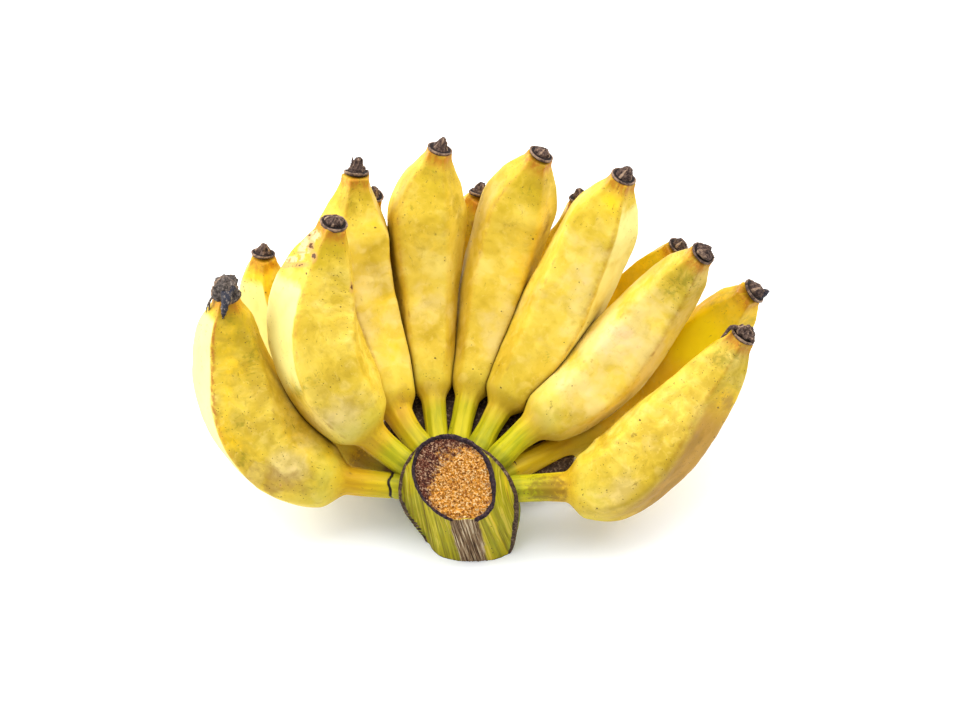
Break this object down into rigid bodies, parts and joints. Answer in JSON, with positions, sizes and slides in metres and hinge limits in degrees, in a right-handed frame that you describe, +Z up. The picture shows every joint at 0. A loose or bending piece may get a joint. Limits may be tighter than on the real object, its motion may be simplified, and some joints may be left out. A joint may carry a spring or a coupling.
{
  "type": "hand of bananas",
  "caption": "Hand of short, fat cooking bananas joined at one cut piece of green stalk, resting on the stalk's cut end and the bellies of the lower row, tips upward.",
  "frame": {"origin": "on the resting surface, below the middle of the whole hand", "axes": "+X across the hand, to the right as seen from the stalk's side; +Y from the stalk towards the tips of the back bananas; +Z up"},
  "size_m": [0.2664, 0.1726, 0.1279],
  "materials": {
    "stalk_skin": "matte",
    "ripe_skin": "satin",
    "dried_flower": "matte"
  },
  "bodies": {
    "root": {"crown": "stalk_skin", "finger_f1": "ripe_skin", "finger_f2": "ripe_skin", "finger_f3": "ripe_skin", "finger_f4": "ripe_skin", "finger_f5": "ripe_skin", "finger_f6": "ripe_skin", "finger_f7": "ripe_skin", "finger_f8": "ripe_skin", "finger_b1": "ripe_skin", "finger_b2": "ripe_skin", "finger_b3": "ripe_skin", "finger_b4": "ripe_skin", "finger_b5": "ripe_skin", "finger_b6": "ripe_skin", "remains_f1": "dried_flower", "remains_f2": "dried_flower", "remains_f3": "dried_flower", "remains_f4": "dried_flower", "remains_f5": "dried_flower", "remains_f6": "dried_flower", "remains_f7": "dried_flower", "remains_f8": "dried_flower", "remains_b1": "dried_flower", "remains_b2": "dried_flower", "remains_b3": "dried_flower", "remains_b4": "dried_flower", "remains_b5": "dried_flower", "remains_b6": "dried_flower"}
  },
  "joints": []
}
